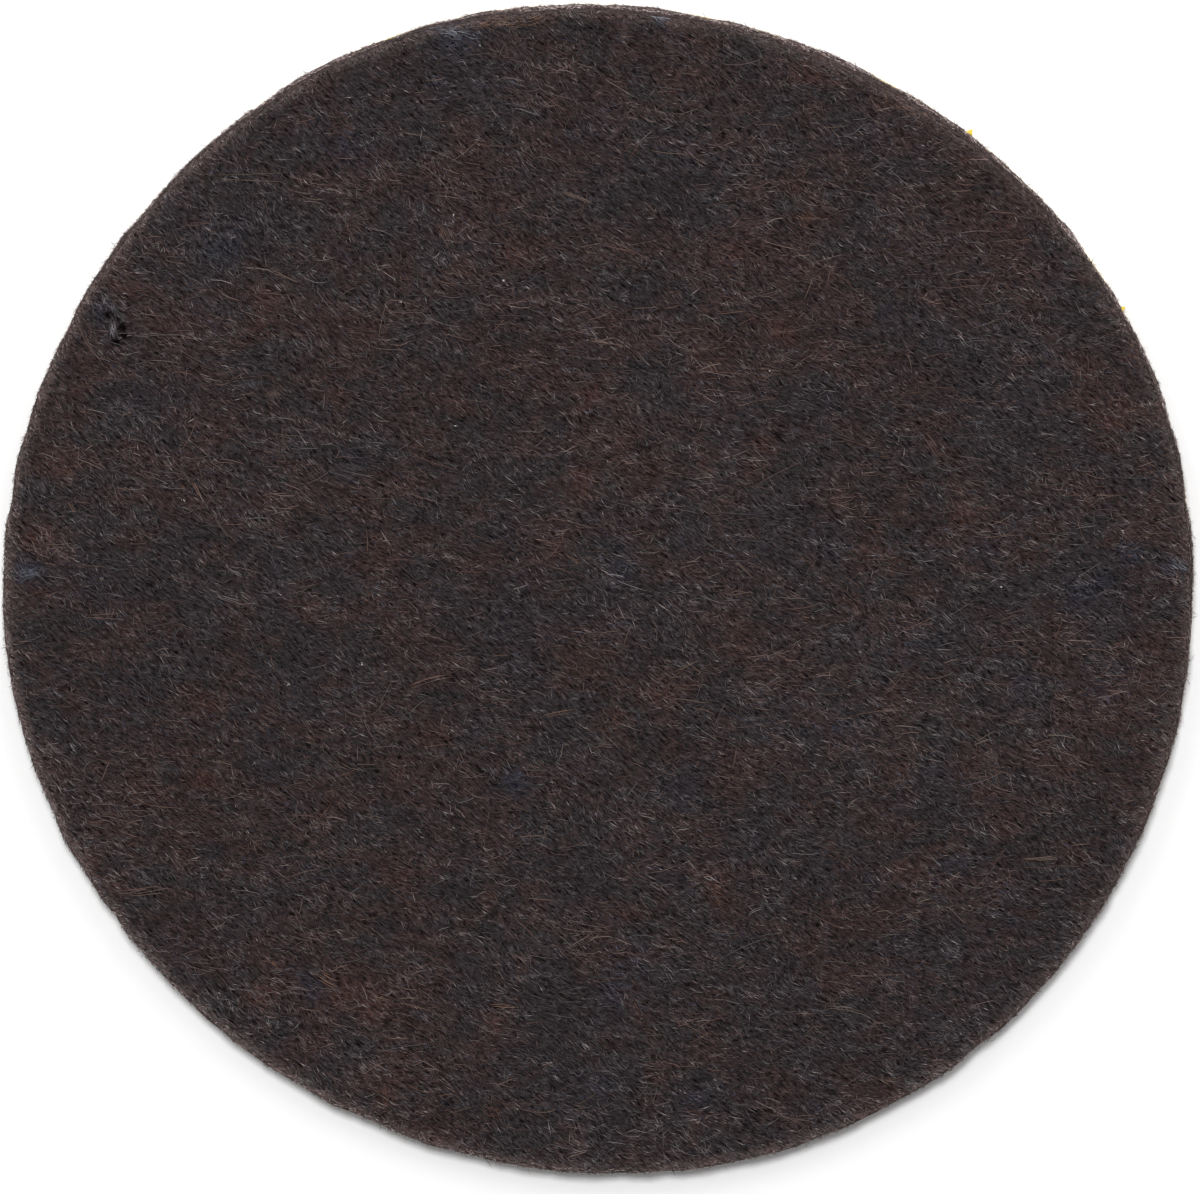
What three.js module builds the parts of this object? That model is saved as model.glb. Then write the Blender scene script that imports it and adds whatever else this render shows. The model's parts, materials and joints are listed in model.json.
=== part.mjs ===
// Felt furniture glide: a disc die-cut from needled felt, with an adhesive film on its back
// and the yellow release liner that still covers the film. It lies on the liner with the
// felt's wear face up. Millimetres, +Z up, origin at the middle of the underside.
import * as THREE from 'three';

// Felt disc
const padDiameter = 76.2;
const feltThickness = 2.75;
const wearFaceRound = 0.35;

// Layers on the felt's back
const filmThickness = 0.15;
const filmSetback = 0.3;
const linerThickness = 0.1;

// The die leaves an outline that is a little off round: each wave adds a few lobes
const cutWaves = [
  { lobes: 3, reach: 0.085, peakDegrees: 52 },
  { lobes: 4, reach: 0.133, peakDegrees: 20 },
  { lobes: 5, reach: 0.073, peakDegrees: 36.5 },
];

// Slivers of liner that the die dragged out past the felt's edge
const linerBurrs = [
  { degrees: 51.5, reach: 0.45, width: 0.6 },
  { degrees: 29, reach: 0.3, width: 0.4 },
];

// Smoothness of the solids
const rimSteps = 240;
const roundSteps = 4;

const padRadius = padDiameter / 2;

function cutWaverAt(degrees) {
  let waver = 0;
  for (const wave of cutWaves) {
    const phase = THREE.MathUtils.degToRad(wave.lobes * (degrees - wave.peakDegrees));
    waver += wave.reach * Math.cos(phase);
  }
  return waver;
}

// Half of the felt's section, from the axis along the back, up the side and over the face
function feltProfile() {
  const profile = [new THREE.Vector2(0, 0), new THREE.Vector2(padRadius, 0)];
  for (let step = 0; step <= roundSteps; step += 1) {
    const turn = (step / roundSteps) * (Math.PI / 2);
    const radius = padRadius - wearFaceRound * (1 - Math.cos(turn));
    const height = feltThickness - wearFaceRound * (1 - Math.sin(turn));
    profile.push(new THREE.Vector2(radius, height));
  }
  profile.push(new THREE.Vector2(0, feltThickness));
  return profile;
}

// Turns the section round the vertical axis, then pushes its rim out to the die's outline
function feltGeometry() {
  const geometry = new THREE.LatheGeometry(feltProfile(), rimSteps);
  geometry.rotateX(Math.PI / 2);
  const position = geometry.getAttribute('position');
  for (let i = 0; i < position.count; i += 1) {
    const x = position.getX(i);
    const y = position.getY(i);
    const degrees = THREE.MathUtils.radToDeg(Math.atan2(y, x));
    const stretch = 1 + cutWaverAt(degrees) / padRadius;
    position.setXY(i, x * stretch, y * stretch);
  }
  geometry.computeVertexNormals();
  return geometry;
}

// The die's outline, drawn in by setback, with a pointed sliver at each burr
function cutOutline(setback, burrs) {
  const stops = [];
  for (const burr of burrs) {
    const halfSpan = THREE.MathUtils.radToDeg(burr.width / 2 / padRadius);
    stops.push({ degrees: burr.degrees - halfSpan, reach: 0 });
    stops.push({ degrees: burr.degrees, reach: burr.reach });
    stops.push({ degrees: burr.degrees + halfSpan, reach: 0 });
  }
  const stepDegrees = 360 / rimSteps;
  for (let step = 0; step < rimSteps; step += 1) {
    const degrees = step * stepDegrees;
    const onBurr = burrs.some((burr) => Math.abs(burr.degrees - degrees) < stepDegrees);
    if (!onBurr) {
      stops.push({ degrees, reach: 0 });
    }
  }
  stops.sort((a, b) => a.degrees - b.degrees);
  return stops.map(({ degrees, reach }) => {
    const radius = padRadius + cutWaverAt(degrees) - setback + reach;
    const turn = THREE.MathUtils.degToRad(degrees);
    return new THREE.Vector2(radius * Math.cos(turn), radius * Math.sin(turn));
  });
}

function layerGeometry(setback, thickness, burrs = []) {
  const shape = new THREE.Shape(cutOutline(setback, burrs));
  return new THREE.ExtrudeGeometry(shape, { depth: thickness, bevelEnabled: false });
}

function namedMesh(name, geometry, bottom, finish) {
  const mesh = new THREE.Mesh(geometry, new THREE.MeshStandardMaterial(finish));
  mesh.name = name;
  mesh.position.z = bottom;
  return mesh;
}

const felt = { color: 0x362f2f, roughness: 0.95, metalness: 0 };
const adhesive = { color: 0xd9d3c2, roughness: 0.35, metalness: 0 };
const linerPaper = { color: 0xf0d84e, roughness: 0.5, metalness: 0 };

const filmBottom = linerThickness;
const feltBottom = filmBottom + filmThickness;

const glide = new THREE.Group();
glide.add(
  namedMesh('release_liner', layerGeometry(0, linerThickness, linerBurrs), 0, linerPaper),
  namedMesh('adhesive_film', layerGeometry(filmSetback, filmThickness), filmBottom, adhesive),
  namedMesh('felt_pad', feltGeometry(), feltBottom, felt),
);

export default glide;
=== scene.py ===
# %% [markdown]
# # A felt furniture glide
# The real glide is a disc die-cut from needled felt: waste fibres of several colours are laid
# in a web and punched through by barbed needles until they hold together. On its back are a
# film of adhesive and a yellow paper liner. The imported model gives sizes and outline, so it is
# loaded first, and this lesson puts the felt on it.

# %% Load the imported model
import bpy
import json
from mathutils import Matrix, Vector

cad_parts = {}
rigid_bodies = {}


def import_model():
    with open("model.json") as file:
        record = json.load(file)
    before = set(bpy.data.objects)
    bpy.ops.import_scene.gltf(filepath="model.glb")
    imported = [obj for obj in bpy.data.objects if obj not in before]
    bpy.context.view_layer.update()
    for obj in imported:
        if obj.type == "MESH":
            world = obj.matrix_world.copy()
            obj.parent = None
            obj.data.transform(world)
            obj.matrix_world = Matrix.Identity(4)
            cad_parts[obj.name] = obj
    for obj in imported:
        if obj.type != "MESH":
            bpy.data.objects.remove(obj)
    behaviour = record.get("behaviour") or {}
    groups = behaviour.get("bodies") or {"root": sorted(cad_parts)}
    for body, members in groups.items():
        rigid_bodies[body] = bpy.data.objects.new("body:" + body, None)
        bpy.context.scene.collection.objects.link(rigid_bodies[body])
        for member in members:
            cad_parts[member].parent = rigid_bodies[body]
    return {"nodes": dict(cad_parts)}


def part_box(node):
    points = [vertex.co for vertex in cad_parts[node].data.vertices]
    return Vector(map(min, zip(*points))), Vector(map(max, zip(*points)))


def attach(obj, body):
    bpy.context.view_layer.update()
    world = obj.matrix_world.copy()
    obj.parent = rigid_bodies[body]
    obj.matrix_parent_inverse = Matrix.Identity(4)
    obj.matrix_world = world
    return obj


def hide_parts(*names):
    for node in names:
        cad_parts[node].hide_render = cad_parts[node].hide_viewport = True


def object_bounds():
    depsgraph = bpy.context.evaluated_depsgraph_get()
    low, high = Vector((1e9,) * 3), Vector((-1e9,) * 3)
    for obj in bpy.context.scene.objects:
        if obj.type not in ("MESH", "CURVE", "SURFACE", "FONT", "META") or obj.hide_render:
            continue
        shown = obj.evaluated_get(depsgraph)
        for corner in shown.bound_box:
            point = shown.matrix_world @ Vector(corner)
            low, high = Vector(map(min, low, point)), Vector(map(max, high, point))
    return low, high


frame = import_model()
cad_low, cad_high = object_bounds()
print("CAD box in mm:", [round(1000 * (b - a), 2) for a, b in zip(cad_low, cad_high)])

# %% [markdown]
# Felt has no pattern that a formula could draw: it is all fibres. They could be hair particles,
# but those have no mesh of their own. Here each fibre is a thin closed mesh, and numpy works
# them all out at once in a few seconds.

# %% Tools and units
import json
import math

import bpy
import numpy as np
from mathutils import Matrix, Vector

MM = 0.001
FULL_TURN = 2 * math.pi
felt_low, felt_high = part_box("felt_pad")
back_z, face_z = felt_low.z, felt_high.z
print("felt from", round(back_z / MM, 3), "to", round(face_z / MM, 3), "mm")

# %% [markdown]
# The die leaves an edge that is a little off round. The outline could be typed in again, but
# then the two models could drift apart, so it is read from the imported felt's underside.

# %% Read the die's outline
def vertex_places(mesh):
    return np.array([vertex.co[:] for vertex in mesh.vertices])


def read_outline():
    points = vertex_places(frame["nodes"]["felt_pad"].data)
    on_back = points[:, 2] < back_z + 0.01 * MM
    off_axis = np.hypot(points[:, 0], points[:, 1]) > MM
    rim = points[on_back & off_axis]
    angles = np.arctan2(rim[:, 1], rim[:, 0])
    order = np.argsort(angles)
    return angles[order], np.hypot(rim[:, 0], rim[:, 1])[order]


outline_angles, outline_radii = read_outline()


def cut_radius(angles):
    """Distance from the axis to the cut edge, at each angle."""
    return np.interp(angles, outline_angles, outline_radii, period=FULL_TURN)


mean_radius = outline_radii.mean()
print("edge from", round(outline_radii.min() / MM, 2), "to", round(outline_radii.max() / MM, 2))

# %% [markdown]
# Blotches, hollows and lumps all start as smooth random ground. A noise texture could draw it,
# but fibres and body need the same ground, so it is made once as a grid and read wherever it is
# needed. White noise is blurred through its spectrum, and the blur can be drawn out one way.

# %% Random ground
FIELD_SIDE = 84 * MM
FIELD_CELLS = 1024


def blurred(grid, width, stretch, bearing):
    """The grid blurred over width metres, and stretch times as far along the bearing."""
    turn = math.radians(bearing)
    rate = np.fft.fftfreq(FIELD_CELLS, FIELD_SIDE / FIELD_CELLS)
    rate_x, rate_y = np.meshgrid(rate, rate)
    lengthwise = rate_x * math.cos(turn) + rate_y * math.sin(turn)
    across = rate_y * math.cos(turn) - rate_x * math.sin(turn)
    blur = np.exp(-2 * (math.pi * width) ** 2 * ((stretch * lengthwise) ** 2 + across**2))
    return np.fft.ifft2(np.fft.fft2(grid) * blur).real


def smooth_field(seed, grain, stretch=1.0, bearing=0.0):
    """Ground with lumps of about grain metres, stretch times as long along bearing."""
    noise = np.random.default_rng(seed).standard_normal((FIELD_CELLS, FIELD_CELLS))
    ground = blurred(noise, grain, stretch, bearing)
    return ground / ground.std()


def read_field(field, x, y):
    """The field's value at points in metres from the axis, blended between cells."""
    column = (x / FIELD_SIDE + 0.5) * FIELD_CELLS
    row = (y / FIELD_SIDE + 0.5) * FIELD_CELLS
    left, low = np.floor(column).astype(int), np.floor(row).astype(int)
    right_share, high_share = column - left, row - low
    corners = [field[(low + j) % FIELD_CELLS, (left + i) % FIELD_CELLS] for j in (0, 1) for i in (0, 1)]
    below = corners[0] * (1 - right_share) + corners[1] * right_share
    above = corners[2] * (1 - right_share) + corners[3] * right_share
    return below * (1 - high_share) + above * high_share


print("ground cell", round(FIELD_SIDE / FIELD_CELLS / MM, 3), "mm")

# %% [markdown]
# A web is folded over as it is laid, so its fibres lie two ways. Here the nap on top runs down
# to the right, steeper on the left. The fibres under it and the streaks of colour run nearly
# level. A plain formula of the place gives both.

# %% The way the nap lies
NAP_MIDDLE = -38
UNDER_TURN = 34
UNDER_BEARING = NAP_MIDDLE + UNDER_TURN
NAP_EASE_RIGHT = 6
NAP_EASE_DOWN = 3
NAP_REACH = 32 * MM
SWIRL_SPREAD = 8
swirl = smooth_field(10, 0.7 * MM)


def nap_bearing(x, y):
    """Direction of the nap in radians, counterclockwise from +X."""
    degrees = NAP_MIDDLE + (NAP_EASE_RIGHT * x - NAP_EASE_DOWN * y) / NAP_REACH
    return np.radians(degrees + SWIRL_SPREAD * read_field(swirl, x, y))


print("nap at the middle:", round(float(nap_bearing(0.0, 0.0)), 2), "radians")

# %% [markdown]
# Two colours carry the felt, a red brown and a cold charcoal, gathered in blotches of 2 to 4 mm
# by chance. Where one waste yarn was dense there are rusty and blue tufts, listed with place and
# size in millimetres, and strength.

# %% Where each colour gathers
RUSTY_TUFTS = [
    (31.2, 15.0, 2.4, 1.8), (33.0, 11.6, 1.6, 1.6), (-34.0, 8.2, 2.0, 1.5), (-30.8, 9.5, 1.2, 1.8),
    (-31.0, 20.7, 1.8, 0.9), (-21.6, 19.8, 1.6, 1.2), (-21.5, -25.0, 2.2, 1.5), (-15.0, -26.5, 3.2, 1.5),
    (-14.0, -19.0, 3.6, 0.9), (-7.0, -28.0, 2.2, 1.3), (7.6, 16.0, 2.0, 1.3), (-0.5, 9.5, 1.6, 1.2),
    (21.1, 11.1, 1.5, 0.9), (12.6, 26.9, 1.6, 1.0), (-26.2, -12.0, 2.4, 0.9), (-24.8, -7.2, 1.2, 1.1),
    (-1.2, -4.5, 2.2, 1.0), (6.8, -18.5, 2.2, 0.8), (26.2, -15.0, 1.4, 1.0),
]
BLUE_TUFTS = [
    (-24.0, 22.8, 2.6, 2.0), (-9.1, 36.8, 2.0, 2.4), (4.3, 37.6, 1.2, 1.8), (-36.4, 1.2, 1.5, 2.4),
    (37.0, 2.5, 1.2, 1.6), (-31.0, 18.0, 1.8, 1.2), (-15.4, 8.9, 1.6, 1.2), (5.1, 25.9, 1.0, 1.2),
    (19.0, 18.4, 1.6, 1.2), (31.6, 0.6, 2.8, 2.0), (34.3, 3.4, 1.4, 2.2), (21.7, -3.0, 1.6, 1.3),
    (27.3, -5.1, 1.8, 1.2), (4.6, -12.1, 2.6, 1.5), (9.8, -15.5, 1.6, 2.3), (-5.2, -12.1, 1.6, 1.8),
    (6.4, -33.1, 1.8, 2.0), (-0.4, -32.4, 1.4, 1.8), (-0.1, -26.1, 1.2, 1.1),
]
TUFT_RAG = 0.3 * MM
TUFT_PULL = 1.2
BROWN_CUT = 0.38
BROWN_STEEPNESS = 2.05
BLUE_USUAL, BLUE_MOST = 0.045, 0.6
RUST_USUAL, RUST_MOST = 0.034, 0.5


def gathered(tufts, x, y):
    """How strongly the tufts reach each place, with ragged borders."""
    total = np.zeros(np.shape(x))
    ragged_x = x + TUFT_RAG * read_field(close_blend, x, y)
    ragged_y = y + TUFT_RAG * read_field(rust_blend, x, y)
    for tuft_x, tuft_y, size, strength in tufts:
        squares = (ragged_x - tuft_x * MM) ** 2 + (ragged_y - tuft_y * MM) ** 2
        total += strength * np.exp(-squares / (2 * (size * MM / 2) ** 2))
    return total


broad_blend = smooth_field(11, 1.6 * MM, 1.3, NAP_MIDDLE)
close_blend = smooth_field(12, 0.68 * MM, 1.2, UNDER_BEARING)
fine_blend = smooth_field(13, 0.26 * MM, 2.0, UNDER_BEARING)
blue_blend = smooth_field(14, 0.9 * MM)
rust_blend = smooth_field(15, 0.6 * MM)
brown_parts = ((broad_blend, 0.5), (close_blend, 0.55), (fine_blend, 0.65))


def blend(x, y):
    """Brown's share against charcoal, and the shares of blue and of rust, at each place."""
    ground = sum(weight * read_field(field, x, y) for field, weight in brown_parts)
    rusty, blue = gathered(RUSTY_TUFTS, x, y), gathered(BLUE_TUFTS, x, y)
    pull = ground - BROWN_CUT + TUFT_PULL * rusty - TUFT_PULL * blue
    brown = 1 / (1 + np.exp(-BROWN_STEEPNESS * pull))
    blue_share = BLUE_USUAL * np.exp(0.6 * read_field(blue_blend, x, y) + 1.4 * blue - 0.5 * rusty)
    rust_share = RUST_USUAL * np.exp(0.9 * read_field(rust_blend, x, y) + 1.2 * rusty)
    return brown, np.clip(blue_share, 0, BLUE_MOST), np.clip(rust_share, 0, RUST_MOST)


print("share of brown at the middle:", round(float(blend(0.0, 0.0)[0]), 2))

# %% [markdown]
# Each needle leaves a small dark hollow, 0.6 to 1 mm from the next, and the fibres between
# stand up in low lumps. One spot near the left edge was picked at, and has a few deeper holes.
# All of it goes into one height grid.

# %% Hollows and lumps of the face
NEEDLE_HOLLOWS = 9000
HOLLOW_WIDTH = 0.1 * MM
HOLLOW_DEPTH = 0.16 * MM
HOLLOW_DRAW = 1.8
SHALLOWEST = 0.35
LUMP_HEIGHT = 0.02 * MM
PICKED_HOLES = [(-31.2, 18.3), (-30.35, 17.5), (-30.25, 16.95), (-30.75, 16.55)]
PICKED_WIDTH = 0.17 * MM
PICKED_DEPTH = 0.45 * MM
PICKED_CLEAR = 0.34 * MM


def stamp_dents(places, depths, width, stretch=1.0):
    """A height grid with a dent at each place, stretch times as long as wide."""
    grid = np.zeros((FIELD_CELLS, FIELD_CELLS))
    cells = np.floor((places / FIELD_SIDE + 0.5) * FIELD_CELLS).astype(int)
    np.add.at(grid, (cells[:, 1], cells[:, 0]), -depths)
    peak = (FIELD_SIDE / FIELD_CELLS) ** 2 / (FULL_TURN * width**2 * stretch)
    return blurred(grid, width, stretch, UNDER_BEARING) / peak


def near_picked(x, y):
    """Whether each place lies in one of the picked holes."""
    return np.any([np.hypot(x - a * MM, y - b * MM) < PICKED_CLEAR for a, b in PICKED_HOLES], axis=0)


chance = np.random.default_rng(21)
needle_places = chance.uniform(-0.5, 0.5, (NEEDLE_HOLLOWS, 2)) * FIELD_SIDE
needle_depths = HOLLOW_DEPTH * chance.uniform(SHALLOWEST, 1.0, NEEDLE_HOLLOWS)
relief = (
    stamp_dents(needle_places, needle_depths, HOLLOW_WIDTH, HOLLOW_DRAW)
    + stamp_dents(np.array(PICKED_HOLES) * MM, PICKED_DEPTH, PICKED_WIDTH)
    + LUMP_HEIGHT * smooth_field(22, 0.6 * MM)
    + LUMP_HEIGHT * smooth_field(23, 0.2 * MM)
)
print("relief from", round(relief.min() / MM, 2), "to", round(relief.max() / MM, 2), "mm")

# %% [markdown]
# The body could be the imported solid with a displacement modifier, but that solid's face is a
# fan of long triangles. A square grid bent into a disc has nearly equal faces all over, so it
# takes the relief evenly. More rings go over the rounded edge and down the cut side.

# %% Grid bent into a disc
FACE_CELLS = 140
EDGE_ROUND = 0.35 * MM
ROUND_ROWS = 4
SIDE_ROWS = 9


def unit_disc(cells):
    """Points of a square grid, bent so that its outer ring is the unit circle."""
    steps = np.linspace(-1, 1, cells + 1)
    a, b = np.meshgrid(steps, steps)
    wide = np.abs(a) > np.abs(b)
    reach = np.where(wide, a, b)
    safe = np.where(reach == 0, 1, reach)
    share = np.where(wide, b, a) / safe
    turn = np.where(wide, math.pi / 4 * share, math.pi / 2 - math.pi / 4 * share)
    return reach * np.cos(turn), reach * np.sin(turn)


def ring_of(cells):
    """Vertex numbers of the grid's outer ring, counterclockwise."""
    side = cells + 1
    bottom = np.arange(0, cells)
    right = cells + side * np.arange(0, cells)
    top = side * cells + np.arange(cells, 0, -1)
    left = side * np.arange(cells, 0, -1)
    return np.concatenate([bottom, right, top, left])


disc_x, disc_y = unit_disc(FACE_CELLS)
face_ring = ring_of(FACE_CELLS)
ring_angles = np.arctan2(disc_y.ravel()[face_ring], disc_x.ravel()[face_ring])
print("face grid", disc_x.size, "points,", round(2 * mean_radius / MM / FACE_CELLS, 2), "mm apart")

# %% [markdown]
# The die drags fibres along, so the side is torn and springs back a little past the outline.
# Body and fibres have to lie on the same side and face, so both are functions of the place.

# %% Heights and edges that fibres share
SPRING_BACK = 0.08 * MM
TORN_REACH = 0.055 * MM
NICK_REACH = 0.03 * MM
side_torn = smooth_field(31, 0.3 * MM)
side_nicks = smooth_field(32, 0.12 * MM)


def edge_radius(angles, heights):
    """Radius of the torn side, which springs out a little past the die's outline."""
    run = angles / FULL_TURN * FIELD_SIDE
    torn = TORN_REACH * read_field(side_torn, run, heights)
    nicked = NICK_REACH * read_field(side_nicks, run, heights)
    return cut_radius(angles) + SPRING_BACK + torn + nicked


def face_height(x, y):
    """Height of the felt's face, with the edge rounded off."""
    rim = edge_radius(np.arctan2(y, x), face_z)
    share = np.clip((np.hypot(x, y) - rim + EDGE_ROUND) / EDGE_ROUND, 0, 1)
    return face_z + read_field(relief, x, y) - EDGE_ROUND * (1 - np.sqrt(1 - share**2))


print("height at the middle", round(float(face_height(0.0, 0.0)) / MM, 3))

# %% Rings over the edge and down the side
def grid_faces(rows, columns, first=0):
    """Quads of a grid of points numbered row by row."""
    corner = first + np.arange(rows - 1)[:, None] * columns + np.arange(columns - 1)[None]
    corner = corner.ravel()
    return np.stack([corner, corner + 1, corner + columns + 1, corner + columns], 1)


def felt_rows():
    """Rings over the rounded edge and down the side, each as its radii and height."""
    rows = []
    for step in range(1, ROUND_ROWS + 1):
        turn = math.pi / 2 * step / ROUND_ROWS
        height = face_z - EDGE_ROUND * (1 - math.cos(turn))
        inward = EDGE_ROUND * (1 - math.sin(turn))
        rows.append((edge_radius(ring_angles, height) - inward, height))
    for step in range(1, SIDE_ROWS + 1):
        drop = step / SIDE_ROWS
        height = (face_z - EDGE_ROUND) * (1 - drop) + back_z * drop
        rows.append((edge_radius(ring_angles, height), height))
    return rows


print("rings below the face:", len(felt_rows()))

# %% Mesh of the body
CALM_POWER = 8


def build_felt_body():
    angles = np.arctan2(disc_y, disc_x)
    inner = edge_radius(angles, face_z) - EDGE_ROUND
    reach = np.hypot(disc_x, disc_y)
    calm = cut_radius(angles) - EDGE_ROUND
    radius = reach * (calm + (inner - calm) * reach**CALM_POWER)
    x, y = radius * np.cos(angles), radius * np.sin(angles)
    points = [np.stack([x, y, face_z + read_field(relief, x, y)], -1).reshape(-1, 3)]
    faces = [grid_faces(FACE_CELLS + 1, FACE_CELLS + 1)]
    last = face_ring
    count = len(points[0])
    for radii, height in felt_rows():
        ring = count + np.arange(len(last))
        xyz = [radii * np.cos(ring_angles), radii * np.sin(ring_angles), np.full(len(last), height)]
        points.append(np.stack(xyz, 1))
        faces.append(np.stack([last, ring, np.roll(ring, -1), np.roll(last, -1)], 1))
        last = ring
        count += len(ring)
    mesh = bpy.data.meshes.new("felt_body")
    polygons = [list(map(int, face)) for face in np.concatenate(faces)]
    polygons.append([int(i) for i in last[::-1]])
    mesh.from_pydata(np.concatenate(points).tolist(), [], polygons)
    mesh.polygons.foreach_set("use_smooth", np.arange(len(polygons)) < len(polygons) - 1)
    mesh.update()
    return mesh


body_mesh = build_felt_body()
print("felt body:", len(body_mesh.polygons), "faces")

# %% [markdown]
# The body's blotches could be an image, but its mesh is fine enough to carry them: each point
# keeps its shares of brown, blue and rust, and how pale its torn side is, from fraying and from
# painted light. Down the side the blotches are read further in, so that they don't run straight
# down it.

# %% Numbers and names for meshes
def store(mesh, name, values):
    """Keeps one number for each vertex, for the material to read."""
    layer = mesh.attributes.new(name, "FLOAT", "POINT")
    layer.data.foreach_set("value", np.asarray(values, np.float32))


def add_object(name, data):
    thing = bpy.data.objects.new(name, data)
    bpy.context.scene.collection.objects.link(thing)
    return thing


def add_piece(name, mesh, material):
    """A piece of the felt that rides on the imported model."""
    piece = add_object(name, mesh)
    mesh.materials.append(material)
    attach(piece, "root")
    return piece


places = vertex_places(body_mesh)
print("body ends at", round(places[:, 2].min() / MM, 3), "mm")

# %% Blotches, fraying and painted rim light of the body
MAT_FRAY_AND_LIGHT_WIDTH = 0.5 * MM
FRAY_AND_LIGHT_AT_FACE = 0.3
RIM_LIGHT_BEARING = 235
RIM_LIGHT_SWING = 0.5


def rim_painted_light(angles):
    """Painted light: how much lighter the rim is made at each angle, most at the lower left."""
    return 1 + RIM_LIGHT_SWING * np.cos(angles - math.radians(RIM_LIGHT_BEARING))


def side_fray_and_light(angles, heights):
    """How pale the cut side is: most at the back, where the die came out, partly from fraying and partly
    painted light that lifts the side out of its shade.
    """
    down = np.clip((face_z - heights) / (face_z - back_z), 0, 1)
    return FRAY_AND_LIGHT_AT_FACE * rim_painted_light(angles) + (1 - FRAY_AND_LIGHT_AT_FACE) * down**2


body_reach = np.hypot(places[:, 0], places[:, 1])
turned_down = 1 - (face_z - places[:, 2]) / np.maximum(body_reach, MM)
shares = blend(places[:, 0] * turned_down, places[:, 1] * turned_down)
for name, values in zip(("brown", "blue", "rust"), shares):
    store(body_mesh, name, values)
body_angles = np.arctan2(places[:, 1], places[:, 0])
body_inset = cut_radius(body_angles) - body_reach
on_side = np.clip(1 - body_inset / MAT_FRAY_AND_LIGHT_WIDTH, 0, 1)
store(body_mesh, "fray_and_light", on_side * side_fray_and_light(body_angles, places[:, 2]))
# Most and least of the rim's painted light.
print("most and least frayed rim:", 1 + RIM_LIGHT_SWING, "and", 1 - RIM_LIGHT_SWING)

# %% [markdown]
# A material here is a short graph of nodes. Small helpers keep each graph to a few lines: one
# starts a material, one makes a node, one sets or joins its inputs, and the rest are the kinds
# of node that come up again and again.

# %% Material helpers
MIX_INPUTS = (0, 6, 7)


def new_material(name, roughness, specular):
    material = bpy.data.materials.new(name)
    material.use_nodes = True
    shader = material.node_tree.nodes["Principled BSDF"]
    shader.inputs["Roughness"].default_value = roughness
    shader.inputs["Specular IOR Level"].default_value = specular
    return material, material.node_tree, shader


def feed(tree, sockets, values):
    """Joins each socket to its value, or sets it to a plain value."""
    for socket, value in zip(sockets, values):
        if isinstance(value, bpy.types.NodeSocket):
            tree.links.new(value, socket)
        else:
            socket.default_value = value


def add_node(tree, kind, settings=None, **inputs):
    node = tree.nodes.new("ShaderNode" + kind)
    for name, value in (settings or {}).items():
        setattr(node, name, value)
    feed(tree, [node.inputs[name.replace("_", " ")] for name in inputs], inputs.values())
    return node


def stored(tree, name):
    return add_node(tree, "Attribute", {"attribute_name": name}).outputs["Fac"]


def mixed(tree, share, first, second):
    """Colour between first and second, each a colour or a socket."""
    node = add_node(tree, "Mix", {"data_type": "RGBA"})
    feed(tree, [node.inputs[number] for number in MIX_INPUTS], (share, first, second))
    return node.outputs[2]


def ranged(tree, value, low, high, to_low, to_high):
    node = add_node(tree, "MapRange")
    feed(tree, node.inputs, (value, low, high, to_low, to_high))
    return node.outputs["Result"]


def product(tree, first, second):
    node = add_node(tree, "Math", {"operation": "MULTIPLY"})
    feed(tree, node.inputs, (first, second))
    return node.outputs[0]


def vector_math(tree, operation, *values, output="Vector", **inputs):
    node = add_node(tree, "VectorMath", {"operation": operation}, **inputs)
    feed(tree, node.inputs, values)
    return node.outputs[output]


def scaled_colour(tree, colour, factor):
    """The colour, as a socket or three numbers, times a socket."""
    return vector_math(tree, "SCALE", colour, Scale=factor)


def linear(red, green, blue):
    """An 8-bit screen colour as the linear colour that shaders take."""
    channels = []
    for value in (red, green, blue):
        share = value / 255
        channels.append(share / 12.92 if share <= 0.04045 else ((share + 0.055) / 1.055) ** 2.4)
    return (*channels, 1.0)


print("screen grey 128 is linear", round(linear(128, 128, 128)[0], 3))

# %% [markdown]
# Under the loose nap the body shows as a mat of fibres too fine to model one by one. A noise
# texture drawn out along the nap gives their streaks, in colour and as bump.

# %% Colours of the waste fibres
CHARCOAL = linear(44, 40, 41)
BROWN = linear(52, 40, 40)
SLATE = linear(43, 42, 50)
RUST = linear(66, 46, 40)
STREAK_LENGTH = 0.6 * MM
STREAK_WIDTH = 0.13 * MM
FRAYED_AND_LIT_MAT = linear(122, 106, 102)
NOISE_RANGE = (0.3, 0.7)
WANDER_GRAIN = 6 * MM
WANDER_REACH = 2 * MM
PIT_SHADE = 0.15
PIT_FADE = 2.2 * PICKED_WIDTH


def streak_noise(tree, length, bearing):
    """Noise drawn out along a bearing that wanders a little."""
    place = add_node(tree, "TexCoord").outputs["Object"]
    wander = add_node(tree, "TexNoise", Vector=place, Scale=1 / WANDER_GRAIN, Detail=1.0)
    centred = vector_math(tree, "SUBTRACT", wander.outputs["Color"], (0.5, 0.5, 0.5))
    bent = vector_math(tree, "MULTIPLY_ADD", centred, (WANDER_REACH, WANDER_REACH, 0), place)
    about_z = {"rotation_type": "Z_AXIS"}
    turned = add_node(tree, "VectorRotate", about_z, Vector=bent, Angle=-math.radians(bearing))
    per_streak = (1 / length, 1 / STREAK_WIDTH, 1 / STREAK_WIDTH)
    sized = vector_math(tree, "MULTIPLY", turned.outputs[0], per_streak)
    noise = add_node(tree, "TexNoise", Vector=sized, Scale=1.0, Detail=2.0, Roughness=0.6)
    return noise.outputs["Fac"]


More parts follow.
